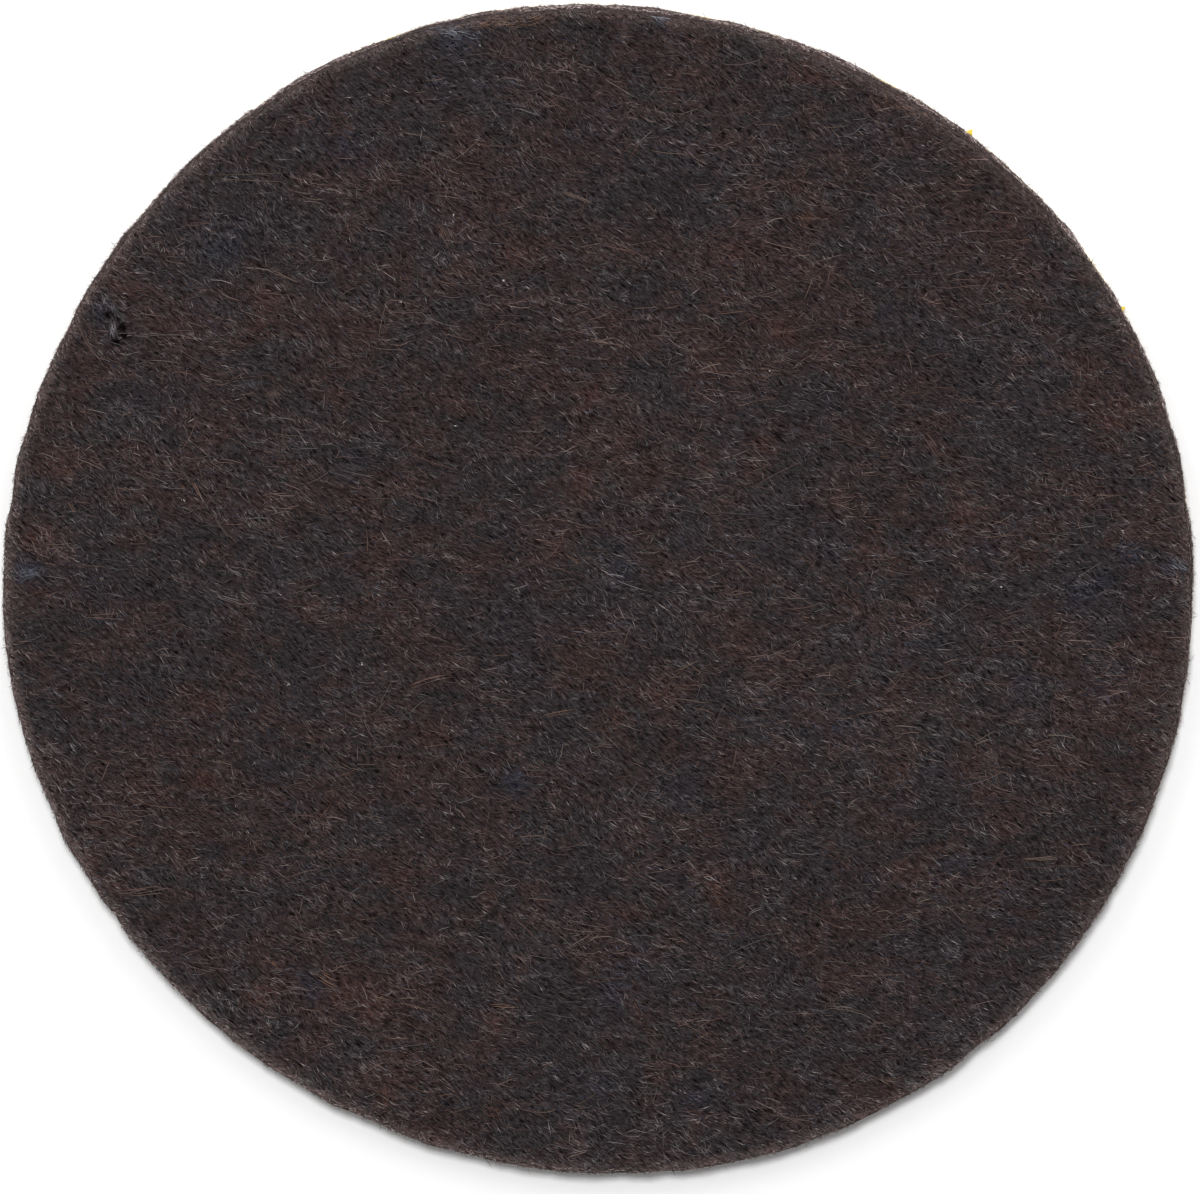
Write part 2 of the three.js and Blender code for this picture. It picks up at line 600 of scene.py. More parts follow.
def pit_shade(tree):
    """One over the open mat, falling to about a sixth in each picked hole."""
    flat = vector_math(tree, "MULTIPLY", add_node(tree, "TexCoord").outputs["Object"], (1, 1, 0))
    shade = None
    for x, y in PICKED_HOLES:
        away = vector_math(tree, "DISTANCE", flat, (x * MM, y * MM, 0), output="Value")
        one = ranged(tree, away, PICKED_WIDTH, PIT_FADE, PIT_SHADE, 1.0)
        shade = one if shade is None else product(tree, shade, one)
    return shade


def felt_mat_material():
    material, tree, shader = new_material("felt_mat", 0.9, 0.0)
    streaks = streak_noise(tree, STREAK_LENGTH, NAP_MIDDLE)
    crossing = streak_noise(tree, 0.8 * STREAK_LENGTH, UNDER_BEARING)
    colour = mixed(tree, stored(tree, "brown"), CHARCOAL, BROWN)
    colour = mixed(tree, stored(tree, "blue"), colour, SLATE)
    colour = mixed(tree, stored(tree, "rust"), colour, RUST)
    light = ranged(tree, streaks, *NOISE_RANGE, 0.1, 1.8)
    cross_light = ranged(tree, crossing, *NOISE_RANGE, 0.5, 1.5)
    # Painted light: the torn side turns pale, partly from fraying and partly to lift it out of shade and
    # show the glow of its fuzz.
    colour = mixed(tree, stored(tree, "fray_and_light"), colour, FRAYED_AND_LIT_MAT)
    colour = scaled_colour(tree, colour, product(tree, light, cross_light))
    colour = scaled_colour(tree, colour, pit_shade(tree))
    tree.links.new(colour, shader.inputs["Base Color"])
    bump = add_node(tree, "Bump", Height=streaks, Distance=0.05 * MM, Strength=0.8)
    tree.links.new(bump.outputs[0], shader.inputs["Normal"])
    return material


felt_body = add_piece("felt_body", body_mesh, felt_mat_material())
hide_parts("felt_pad")
print("felt body stands for felt_pad")

# %% [markdown]
# Each fibre is a closed sliver: a pointed tip, rings of three points and another pointed tip.
# Round tubes would look no better at this size and cost four times the faces. All fibres of one
# colour are one mesh, where the faces of one sliver are repeated with shifted numbers. A flat
# map gives every sliver a cell of its own, which no general way of unfolding does as well.

# %% Slivers from centre lines
RING = 3
CELL_MARGIN = 0.08
UPWARD = np.array([[0.0, 0.0, 1.0]])


def sliver_pattern(stations):
    """One sliver's triangles: their vertex numbers, and their corners unrolled on a square."""
    last = stations - 1
    numbers, unrolled = [], []
    for side in range(RING):
        triangles = [((0, 0.5), (1, 0), (1, 1)), ((last, 0.5), (last - 1, 1), (last - 1, 0))]
        for station in range(1, last - 1):
            triangles.append(((station, 0), (station + 1, 0), (station + 1, 1)))
            triangles.append(((station, 0), (station + 1, 1), (station, 1)))
        for station, edge in [corner for triangle in triangles for corner in triangle]:
            on_ring = 1 + RING * (station - 1) + (side + int(edge)) % RING
            tip = 0 if station == 0 else 1 + RING * (last - 1)
            numbers.append(tip if edge == 0.5 else on_ring)
            unrolled.append((station / last, (side + edge) / RING))
    return np.array(numbers).reshape(-1, RING), np.array(unrolled)


def unit(vectors):
    return vectors / (np.linalg.norm(vectors, axis=-1, keepdims=True) + 1e-12)


def sliver_points(lines, thickness, outward):
    """Vertices of the slivers round their centre lines, as fibre, vertex, xyz."""
    along = lines[:, 2:] - lines[:, :-2]
    sideways = unit(np.cross(along, outward[:, None]))
    over = unit(np.cross(sideways, along))
    turns = np.arange(RING) * FULL_TURN / RING + math.pi / 2
    spokes = sideways[:, :, None] * np.cos(turns)[:, None] + over[:, :, None] * np.sin(turns)[:, None]
    rings = lines[:, 1:-1, None] + spokes * (thickness / 2)[:, None, None, None]
    return np.concatenate([lines[:, :1], rings.reshape(len(lines), -1, 3), lines[:, -1:]], 1)


def lay_flat(mesh, count, unrolled):
    """A flat map of the mesh, with a cell for each sliver."""
    side = math.ceil(math.sqrt(count))
    number = np.arange(count)
    cells = np.stack([number % side, number // side], 1)
    inside = CELL_MARGIN + (1 - 2 * CELL_MARGIN) * unrolled
    places = (cells[:, None] + inside[None]) / side
    layer = mesh.uv_layers.new(name="OFBake")
    layer.data.foreach_set("uv", places.astype(np.float32).ravel())


def sliver_mesh(name, lines, thickness, outward, tones):
    """One mesh of slivers with the same number of stations, and a tone for each."""
    points = sliver_points(lines, thickness, outward)
    pattern, unrolled = sliver_pattern(lines.shape[1])
    shift = np.arange(len(lines)) * points.shape[1]
    corners = (pattern[None] + shift[:, None, None]).reshape(-1).astype(np.int32)
    mesh = bpy.data.meshes.new(name)
    mesh.vertices.add(points.shape[0] * points.shape[1])
    mesh.vertices.foreach_set("co", points.astype(np.float32).ravel())
    mesh.loops.add(len(corners))
    mesh.polygons.add(len(corners) // 3)
    mesh.polygons.foreach_set("loop_start", np.arange(0, len(corners), 3, dtype=np.int32))
    mesh.polygons.foreach_set("vertices", corners)
    mesh.update(calc_edges=True)
    mesh.polygons.foreach_set("use_smooth", np.ones(len(corners) // 3, bool))
    store(mesh, "tone", np.repeat(tones, points.shape[1]))
    lay_flat(mesh, len(lines), unrolled)
    return mesh


print("a short fibre has", len(sliver_pattern(3)[0]), "faces")

# %% [markdown]
# A fibre's material is its dye, lighter or darker by the tone that each sliver carries, and
# light ones took less dye, so they are greyer. The waste is two browns, two charcoals, and a
# little slate, rust, tan and undyed grey. The ends that the die cut are paler, and their colour
# is made paler still as painted light, for the glow of thin fuzz against bright surroundings.

# %% Finish of a fibre
FIBRE_COLOURS = {
    "chestnut": linear(91, 73, 71), "umber": linear(79, 63, 62), "charcoal": linear(75, 71, 73),
    "soot": linear(66, 62, 64), "slate": linear(72, 71, 87), "rust": linear(102, 76, 66),
    "pale": linear(136, 127, 126), "tan": linear(120, 101, 89), "golden": linear(128, 97, 80),
    "frayed_and_lit": linear(150, 130, 125), "lint": linear(136, 141, 153), "ash": linear(128, 123, 129),
    "white": linear(214, 212, 210),
}
BLEACH_FROM, BLEACH_TO = 1.0, 2.4
BLEACH_MOST = 0.7


def bleached(colour):
    """A warm grey as bright as the dye."""
    level = 0.3 * colour[0] + 0.5 * colour[1] + 0.2 * colour[2]
    return (1.1 * level, 0.98 * level, 0.98 * level, 1.0)


def fibre_material(name, colour):
    material, tree, shader = new_material(name, 0.5, 0.3)
    tone = stored(tree, "tone")
    bleach = ranged(tree, tone, BLEACH_FROM, BLEACH_TO, 0.0, BLEACH_MOST)
    dye = mixed(tree, bleach, colour, bleached(colour))
    tree.links.new(scaled_colour(tree, dye, tone), shader.inputs["Base Color"])
    return material


fibre_finish = {name: fibre_material("fibre_" + name, colour) for name, colour in FIBRE_COLOURS.items()}
print("fibre finishes:", ", ".join(fibre_finish))


def add_fibres(name, colour, lines, thickness, tones, outward=UPWARD):
    """A piece made of slivers whose flat side looks outward."""
    mesh = sliver_mesh(name, lines, thickness, outward, tones)
    print(name, len(lines), "fibres,", len(mesh.polygons), "faces")
    return add_piece(name, mesh, fibre_finish[colour])


# %% [markdown]
# Most of what the eye sees is short nap, under a millimetre long, that starts in the mat, bends
# once and ends a little proud. Places are drawn evenly, and the blend there decides the colour.
# The needles pulled the fibres out of the deep hollows, so most of those stay bare.

# %% Where fibres lie on the face
TONE_LEAST, TONE_MOST = 0.25, 2.6
FRAY_AND_LIGHT_WIDTH = 2.0 * MM
FRAY_AND_LIGHT_GAIN = 0.6
bundles = smooth_field(16, 0.085 * MM, 4.0, UNDER_BEARING)
rows = smooth_field(24, 0.18 * MM, 3.8, UNDER_BEARING)
glow = smooth_field(17, 0.45 * MM, 1.8, UNDER_BEARING)
broad_glow = smooth_field(18, 1.6 * MM)
tone_parts = ((bundles, 0.28), (rows, 0.14), (glow, 0.04), (broad_glow, 0.1))
draw = np.random.default_rng(41)


def even_places(count, margin):
    """Places drawn evenly over the disc, as far as margin inside the cut edge."""
    angles = draw.uniform(-math.pi, math.pi, count)
    radii = (cut_radius(angles) - margin) * np.sqrt(draw.uniform(0, 1, count))
    return radii * np.cos(angles), radii * np.sin(angles)


def fibre_tones(x, y, spread):
    """How light each fibre is against its dye: by chance, bundle, and near the edge, where fraying and
    painted light make it lighter.
    """
    lightness = draw.normal(0, spread, len(x))
    for field, weight in tone_parts:
        lightness += weight * read_field(field, x, y)
    tones = np.exp(lightness)
    angles = np.arctan2(y, x)
    to_edge = cut_radius(angles) - np.hypot(x, y)
    # Painted light: fibres near the rim are made lighter, most at the lower left.
    tones *= 1 + FRAY_AND_LIGHT_GAIN * rim_painted_light(angles) * np.clip(1 - to_edge / FRAY_AND_LIGHT_WIDTH, 0, 1) ** 2
    return np.clip(tones, TONE_LEAST, TONE_MOST)


def bent_paths(u, v, bearing, length, curl, stations):
    """Flat paths from each start that turn by curl on their way, as fibre, station, uv."""
    shares = (np.arange(stations - 1) + 0.5) / (stations - 1) - 0.5
    headings = bearing[:, None] + curl[:, None] * shares
    steps = np.stack([np.cos(headings), np.sin(headings)], 2) * (length / (stations - 1))[:, None, None]
    paths = np.zeros((len(u), stations, 2))
    paths[:, 0] = np.stack([u, v], 1)
    paths[:, 1:] = paths[:, :1] + np.cumsum(steps, 1)
    return paths


def lay_on_face(paths, lifts):
    """Centre lines that follow the face at these heights above it."""
    heights = face_height(paths[..., 0], paths[..., 1]) + lifts
    return np.concatenate([paths, heights[..., None]], 2)


def held_in(paths, overhang):
    """The paths, pulled in so that none goes further past the edge than its overhang."""
    angles = np.arctan2(paths[..., 1], paths[..., 0])
    limit = edge_radius(angles, face_z) + overhang[:, None]
    return paths * np.minimum(1, limit / np.hypot(paths[..., 0], paths[..., 1]))[..., None]


def crossed(bearing, near, far, far_share):
    """Bearings spread by near degrees, and a share of them by far degrees."""
    spread = np.where(draw.uniform(0, 1, len(bearing)) < far_share, far, near)
    return bearing + np.radians(spread * draw.standard_normal(len(bearing)))


def random_lifts(count, spans):
    """Heights drawn for each fibre, with a span in mm for each of its stations."""
    return np.stack([draw.uniform(low, high, count) for low, high in spans], 1)


print("rim fibres are up to", 1 + FRAY_AND_LIGHT_GAIN * (1 + RIM_LIGHT_SWING), "times as light")

# %% Short nap
SHORT_FIBRES = 118000
SHORT_LENGTH, SHORT_SPREAD = 0.72 * MM, 0.42
SHORT_LEAST, SHORT_MOST = 0.3 * MM, 2.2 * MM
SHORT_CURL = 0.28
SHORT_LIFTS = ((-0.08, 0), (0.02, 0.1), (-0.03, 0.1))
NEAR_SCATTER, FAR_SCATTER, FAR_SHARE = 15, 50, 0.25
PALE_FAR_SHARE = 0.1
UNDER_SHARE = 0.12
UNDER_SIZE = 1.25
UNDER_DROP = 0.03 * MM
SHORT_OVERHANG = 0.04 * MM
NAP_COLOURS = ("chestnut", "umber", "charcoal", "soot", "slate", "rust", "pale")
PALE_SHARE = 0.07
PALE_TONE = 0.72
NAP_LIGHTNESS, NAP_TONE_SPREAD = 0.955, 0.45
SPARE_SHARE = 1.3
HOLLOW_BARE = 0.9


def pick_colours(x, y):
    """For each place the number of a colour in NAP_COLOURS, by chance and the blend there."""
    brown, blue, rust = blend(x, y)
    rest = 1 - blue - rust - PALE_SHARE
    warm, cold = rest * brown, rest * (1 - brown)
    pale = np.full(len(x), PALE_SHARE)
    shares = np.clip([0.5 * warm, 0.5 * warm, 0.5 * cold, 0.5 * cold, blue, rust, pale], 0, 1)
    edges = np.cumsum(shares, axis=0) / shares.sum(axis=0)
    return (draw.uniform(0, 1, len(x))[None] > edges).sum(axis=0)


def short_places():
    """Places for the nap, fewer of them in the hollows."""
    x, y = even_places(int(SPARE_SHARE * SHORT_FIBRES), -SPRING_BACK)
    hollow = np.clip(-read_field(relief, x, y) / HOLLOW_DEPTH, 0, 1)
    kept = (draw.uniform(0, 1, len(x)) > HOLLOW_BARE * hollow) & ~near_picked(x, y)
    return x[kept][:SHORT_FIBRES], y[kept][:SHORT_FIBRES]


def lay_short_nap():
    x, y = short_places()
    count = len(x)
    colours = pick_colours(x, y)
    pale = colours == NAP_COLOURS.index("pale")
    under = (draw.uniform(0, 1, count) < UNDER_SHARE) & ~pale
    size = np.where(under, UNDER_SIZE, 1.0)
    middle = nap_bearing(x, y) + math.radians(UNDER_TURN) * under
    bearing = crossed(middle, NEAR_SCATTER, FAR_SCATTER, np.where(pale, PALE_FAR_SHARE, FAR_SHARE))
    bearing += math.pi * (draw.uniform(0, 1, count) < 0.5)
    length = draw.lognormal(math.log(SHORT_LENGTH), SHORT_SPREAD, count)
    length = size * np.clip(length, SHORT_LEAST, SHORT_MOST)
    curl = draw.normal(0, SHORT_CURL, count)
    curl[pale] *= 0.5
    back = 0.5 * length
    paths = bent_paths(x - back * np.cos(bearing), y - back * np.sin(bearing), bearing, length, curl, 3)
    paths = held_in(paths, draw.uniform(-0.1, 1.0, count) * SHORT_OVERHANG)
    lifts = random_lifts(count, SHORT_LIFTS)
    lines = lay_on_face(paths, lifts * MM - UNDER_DROP * under[:, None])
    thickness = size * draw.uniform(0.03, 0.06, count) * MM
    tones = NAP_LIGHTNESS * fibre_tones(x, y, NAP_TONE_SPREAD)
    tones[pale] *= PALE_TONE
    for number, colour in enumerate(NAP_COLOURS):
        chosen = colours == number
        add_fibres("nap_" + colour, colour, lines[chosen], thickness[chosen], tones[chosen])


lay_short_nap()

# %% [markdown]
# Over the nap run longer loose fibres, about 1 to 5 mm, thin and curved, mostly near level like
# the streaks of colour. They keep the surface from looking combed. They could all be listed, but
# chance does as well for most of them.

# %% Long strands
LONG_GROUPS = [
    ("tan", 350, 0.7, True),
    ("pale", 150, 0.6, False),
    ("chestnut", 1300, 1.0, True),
    ("rust", 900, 1.05, True),
    ("charcoal", 1100, 0.95, False),
]
LONG_LENGTH, LONG_SPREAD = 1.5, 0.4
LONG_LEAST, LONG_MOST = 0.7, 5.0
LONG_CURL = 0.6
LONG_NEAR_SCATTER, LONG_FAR_SCATTER = 14, 45
STRAND_STATIONS = 5
STRAND_WAVE = 0.35


def strand_lines(x, y, bearing, length, curl, swings):
    """Centre lines of strands that wave a little and lie on top of the nap."""
    count = len(x)
    paths = bent_paths(x, y, bearing, length, curl, STRAND_STATIONS)
    run = np.linspace(0, 1, STRAND_STATIONS)
    wave = STRAND_WAVE * swings * length / FULL_TURN
    sideways = np.stack([-np.sin(bearing), np.cos(bearing)], 1)
    swing = np.sin(FULL_TURN * run)[None] * wave[:, None] * 0.5
    paths = paths + swing[..., None] * sideways[:, None]
    lifts = draw.uniform(0.05, 0.13, (count, STRAND_STATIONS))
    lifts[:, [0, -1]] = draw.uniform(-0.05, 0.03, (count, 2))
    return lay_on_face(held_in(paths, np.zeros(count)), lifts * MM)


def lay_long_strands(colour, count, lightness, in_brown):
    x, y = even_places(4 * count, 0.8 * MM)
    brown = blend(x, y)[0]
    kept = draw.uniform(0, 1, len(x)) < (brown if in_brown else 1 - brown)
    x, y = x[kept][:count], y[kept][:count]
    level = nap_bearing(x, y) + math.radians(UNDER_TURN)
    bearing = crossed(level, LONG_NEAR_SCATTER, LONG_FAR_SCATTER, FAR_SHARE)
    length = draw.lognormal(math.log(LONG_LENGTH), LONG_SPREAD, count)
    length = np.clip(length, LONG_LEAST, LONG_MOST) * MM
    curl, swings = draw.normal(0, LONG_CURL, count), draw.standard_normal(count)
    lines = strand_lines(x, y, bearing, length, curl, swings)
    thickness = draw.uniform(0.03, 0.055, count) * MM
    tones = fibre_tones(x, y, 0.25) * lightness
    add_fibres("strands_" + colour, colour, lines, thickness, tones)


for group in LONG_GROUPS:
    lay_long_strands(*group)

# %% [markdown]
# The strands that the eye finds first are listed one by one, in millimetres and degrees: where
# each starts, which way it runs, how far, how much it turns, and how many lie side by side.

# %% Strands listed one by one
FOUND_STRANDS = {
    "pale": [
        (-27, 21.5, -30, 4.5, 0, 1), (-30, 17, 0, 5, -15, 1), (-29, 12, -40, 2, 0, 1),
        (-24, 2, -35, 2, 0, 2), (-25, 0, -10, 2.5, 0, 3), (-11.5, 19, -30, 2.5, 20, 1),
        (6, 0.5, -15, 3.5, 25, 1), (9.5, -21, 30, 2, -60, 2),
    ],
    "tan": [
        (-33, 18, -65, 4, 30, 2), (-25, 27.5, 0, 6.5, 5, 2), (-21, 21.5, -25, 3.5, 10, 2),
        (-12.5, 30.5, -20, 3, -10, 2), (-28, 5, -20, 3.5, 30, 1), (-2, 26.5, -20, 3, -20, 3),
        (-0.5, 17, -15, 3, -10, 3), (4, 18.5, -95, 2, -110, 1), (8.5, 3, -45, 3.5, 10, 2),
        (30, -2.5, 0, 4, 0, 1), (27, -17, 5, 4, 0, 3), (24, -9.5, 25, 2.5, -30, 2),
        (14, -27, -10, 5.5, -35, 2), (-15, -26.5, -10, 2, 10, 3),
    ],
    "golden": [
        (-34, 6, -50, 1.5, 0, 2), (-26, 7.5, -65, 1.5, -20, 2), (-21.5, -24, -45, 1.5, 30, 2),
        (-18.5, -25, -20, 2, 35, 8), (-13, -27, -10, 2.5, 5, 2), (-7.5, -27, 0, 2.5, -10, 2),
        (-3.5, -8, 20, 2.5, -30, 3), (29.5, -6, -50, 1, 0, 3),
    ],
    "rust": [
        (-33, -1.5, 5, 2.5, 0, 4), (-31, -19.5, -5, 3.5, 0, 6), (-12.5, -6, 15, 4, -20, 4),
        (-10, 24.5, -65, 2, -20, 4), (7, 15.5, -45, 1.5, -50, 4), (21, 11, -50, 2, 0, 4),
    ],
}
FOUND_TONES = {"pale": 0.85, "tan": 0.95, "golden": 1.0, "rust": 1.2}
BUNDLE_GAP = 0.09 * MM
BUNDLE_SLIP = 0.2 * MM


def one_each(rows):
    """The columns of a list, each row repeated as often as its last number says."""
    return np.repeat(np.array(rows)[:, :-1], [row[-1] for row in rows], axis=0).T


def beside(x, y, turn, ahead, aside):
    """Places ahead of x and y in mm and to the left of them, as seen along turn."""
    moved_x = x * MM + ahead * np.cos(turn) - aside * np.sin(turn)
    moved_y = y * MM + ahead * np.sin(turn) + aside * np.cos(turn)
    return moved_x, moved_y


def lay_found_strands(colour, found):
    """The listed strands of one colour, each with its fellows beside it."""
    x, y, bearing, length, curl = one_each(found)
    counts = [row[-1] for row in found]
    place = np.concatenate([np.arange(number) - (number - 1) / 2 for number in counts])
    count = len(x)
    bearing = np.radians(bearing + draw.normal(0, 2, count))
    length = length * MM * draw.uniform(0.6, 1.05, count)
    aside = BUNDLE_GAP * (place + draw.normal(0, 0.3, count))
    ahead = BUNDLE_SLIP * draw.standard_normal(count)
    x, y = beside(x, y, bearing, ahead, aside)
    curl = np.radians(curl) + draw.normal(0, 0.08, count)
    swings = np.repeat(draw.standard_normal(len(found)), counts)
    lines = strand_lines(x, y, bearing, length, curl, swings)
    thickness = draw.uniform(0.035, 0.055, count) * MM
    tones = FOUND_TONES[colour] * np.exp(draw.normal(0, 0.15, count))
    add_fibres("found_" + colour, colour, lines, thickness, tones)


for colour, found in FOUND_STRANDS.items():
    lay_found_strands(colour, found)

# %% [markdown]
# Here and there a bit of foreign lint was caught: pale blue and golden wisps at the rim, grey
# ones across the picked spot, and a few white specks. A wisp is a cloud of short fibres, listed
# as its place, bearing, length, width, lightness and number of fibres.

# %% Wisps of lint and white specks
LINT_WISPS = [
    (-9.0, 37.0, -20, 1.3, 0.5, 0.62, 60), (4.3, 38.0, -40, 0.45, 0.25, 0.9, 22),
    (-36.5, 1.3, 15, 0.8, 0.35, 0.42, 42), (37.3, 2.6, -35, 0.45, 0.25, 0.7, 18),
    (-24.5, 22.5, -35, 1.1, 0.6, 0.24, 24),
]
ASH_WISPS = [(-31.1, 19.0, -64, 0.7, 0.2, 0.55, 26), (-30.85, 17.3, -83, 0.6, 0.22, 0.6, 36)]
GOLDEN_WISPS = [(-5.3, 37.5, 4, 2.6, 0.25, 0.8, 60), (20.0, 32.2, -32, 1.2, 0.35, 0.7, 24)]
WHITE_SPECKS = [
    (-7.2, 36.1), (-9.0, 25.1), (-5.9, 20.8), (-12.4, 19.4), (-26.6, 6.3), (-9.1, 11.3), (-15.3, -4.4),
    (-20.0, -5.8), (11.1, 15.1), (25.9, 1.0), (33.6, 4.7),
]
SPECK_FIBRES = 3
SPECK_THICKNESS = 0.07 * MM


def lay_wisps(colour, wisps):
    x, y, turn, wisp_length, wisp_width, lightness = one_each(wisps)
    count = len(x)
    turn = np.radians(turn)
    along = draw.normal(0, 0.6, count) * wisp_length * MM
    across = draw.normal(0, 0.6, count) * wisp_width * MM
    length = draw.uniform(0.4, 1.1, count) * MM
    x, y = beside(x, y, turn, along - length / 2, across)
    bearing = turn + draw.normal(0, 0.25, count)
    paths = bent_paths(x, y, bearing, length, draw.normal(0, 0.6, count), 4)
    lifts = draw.uniform(0.03, 0.12, (count, 4)) * MM
    lines = lay_on_face(held_in(paths, np.full(count, 0.05 * MM)), lifts)
    thickness = draw.uniform(0.025, 0.05, count) * MM
    tones = lightness * np.exp(draw.normal(0, 0.5, count))
    add_fibres("wisps_" + colour, colour, lines, thickness, tones)


def lay_specks():
    spots = np.repeat(np.array(WHITE_SPECKS) * MM, SPECK_FIBRES, axis=0)
    count = len(spots)
    spots = spots + draw.normal(0, 0.04, spots.shape) * MM
    length = draw.uniform(0.15, 0.3, count) * MM
    bearing = nap_bearing(spots[:, 0], spots[:, 1]) + draw.normal(0, 0.5, count)
    paths = bent_paths(spots[:, 0], spots[:, 1], bearing, length, np.zeros(count), 3)
    lines = lay_on_face(paths, np.array([0.03, 0.12, 0.08]) * MM)
    tones = draw.uniform(0.6, 1.0, count)
    add_fibres("white_specks", "white", lines, np.full(count, SPECK_THICKNESS), tones)


lay_wisps("lint", LINT_WISPS)
lay_wisps("ash", ASH_WISPS)
lay_wisps("golden", GOLDEN_WISPS)
lay_specks()

# %% [markdown]
# The cut side is a fuzz of fibre ends, pale mostly low down, where the die came out, and in a
# thin band over the edge. Part of that paleness is painted light: the lower side is lifted out of
# its shade, and the rim is lightened for the glow of fuzz against bright surroundings. The side's
# hairs are worked out as if it were rolled flat and then wrapped round the disc, so the same flat
# paths serve here.

# %% Fuzz of the cut side and of the edge
# The pale group low on the side is made lighter as painted light, to lift the side out of its shade.
SIDE_GROUPS = [
    ("chestnut", 3600, 0.95, 1.0),
    ("soot", 3000, 1.1, 1.0),
    ("frayed_and_lit", 5000, 1.5, 0.55),
]
SIDE_LIFTS = ((-0.06, 0), (0.0, 0.08), (-0.02, 0.12))
STRAY_SHARE = 0.04
TOP_CLEAR = 0.1 * MM
EDGE_HAIRS = 7500
EDGE_BAND = 0.65 * MM
EDGE_CROWDING = 1.6
EDGE_WITH_NAP = 0.6
EDGE_LIFTS = ((-0.06, 0), (0.02, 0.1), (0.0, 0.12))
EDGE_OVERHANG = 0.03 * MM
STRAY_HAIRS = 300


def even_run(count):
    """Places drawn evenly along the rim rolled flat."""
    half_run = math.pi * mean_radius
    return draw.uniform(-half_run, half_run, count)


def wrap_round_side(paths, standoff):
    """Centre lines on the side, from flat paths along the rim and up it."""
    angles = paths[..., 0] / mean_radius
    heights = np.clip(paths[..., 1], back_z, face_z)
    radii = edge_radius(angles, heights) + standoff
    return np.stack([radii * np.cos(angles), radii * np.sin(angles), heights], 2)


def lay_side_fuzz(colour, count, lightness, rise):
    """Hairs of one colour that cover the side up to a share of its height."""
    run = even_run(count)
    top = back_z + rise * (face_z - TOP_CLEAR - back_z)
    height = draw.uniform(back_z, top, count)
    bearing = draw.normal(0, 1.1, count)
    length = draw.uniform(0.2, 0.65, count) * MM
    paths = bent_paths(run, height, bearing, length, draw.normal(0, 0.8, count), 3)
    standoff = random_lifts(count, SIDE_LIFTS)
    stray = draw.uniform(0, 1, count) < STRAY_SHARE
    standoff[stray, 2] += draw.uniform(0.1, 0.35, stray.sum())
    lines = wrap_round_side(paths, standoff * MM)
    outward = unit(lines[:, 1] * (1, 1, 0))
    thickness = draw.uniform(0.03, 0.055, count) * MM
    fray_and_light = side_fray_and_light(run / mean_radius, height)
    # Painted light: side hairs are made lighter low down and at the lower left, to lift the side out of its
    # shade.
    tones = lightness * (0.8 + fray_and_light) * np.exp(draw.normal(0, 0.3, count))
    tones = np.clip(tones, TONE_LEAST, TONE_MOST)
    add_fibres("side_" + colour, colour, lines, thickness, tones, outward)


def lay_edge_fuzz(count):
    """Pale ends over the rounded edge, more than half of them along the nap."""
    angles = draw.uniform(-math.pi, math.pi, count)
    inset = EDGE_BAND * draw.uniform(0, 1, count) ** EDGE_CROWDING
    radii = edge_radius(angles, face_z) - inset
    x, y = radii * np.cos(angles), radii * np.sin(angles)
    with_nap = draw.uniform(0, 1, count) < EDGE_WITH_NAP
    bearing = np.where(with_nap, nap_bearing(x, y), angles + math.pi / 2) + draw.normal(0, 0.6, count)
    length = draw.uniform(0.2, 0.6, count) * MM
    paths = bent_paths(x, y, bearing, length, draw.normal(0, 0.9, count), 3)
    paths = held_in(paths, np.minimum(draw.exponential(1.0, count), 4) * EDGE_OVERHANG)
    lifts = random_lifts(count, EDGE_LIFTS)
    thickness = draw.uniform(0.025, 0.05, count) * MM
    # Painted light: lighter towards the outer edge and at the lower left.
    fade = rim_painted_light(angles) * (0.82 - 0.65 * inset / EDGE_BAND)
    tones = np.clip(fade * np.exp(draw.normal(0, 0.5, count)), 0.2, TONE_MOST)
    lines = lay_on_face(paths, lifts * MM)
    add_fibres("edge_fuzz", "frayed_and_lit", lines, thickness, tones)


def lay_stray_ends(count):
    """Single hairs that stand out past the edge."""
    run = even_run(count)
    height = draw.uniform(back_z + 0.5 * MM, face_z - TOP_CLEAR, count)
    bearing = draw.uniform(-math.pi, math.pi, count)
    length = draw.uniform(0.3, 1.0, count) * MM
    paths = bent_paths(run, height, bearing, length, draw.normal(0, 1.0, count), 4)
    reach = np.clip(draw.lognormal(math.log(0.15), 0.5, count), 0.06, 0.6)
    standoff = reach[:, None] * (0, 0.4, 0.8, 1.0) - (0.05, 0, 0, 0)
    lines = wrap_round_side(paths, standoff * MM)
    outward = np.cross(lines[:, -1] - lines[:, 0], (0, 0, 1.0))
    thickness = draw.uniform(0.02, 0.035, count) * MM
    tones = np.clip(np.exp(draw.normal(0.2, 0.3, count)), TONE_LEAST, TONE_MOST)
    add_fibres("stray_ends", "chestnut", lines, thickness, tones, outward)


for group in SIDE_GROUPS:
    lay_side_fuzz(*group)
lay_edge_fuzz(EDGE_HAIRS)
lay_stray_ends(STRAY_HAIRS)

# %% [markdown]
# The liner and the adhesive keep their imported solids, because a flat die-cut layer is already
# right. They only get finishes: paper with a faint cloudiness, and a cream film.

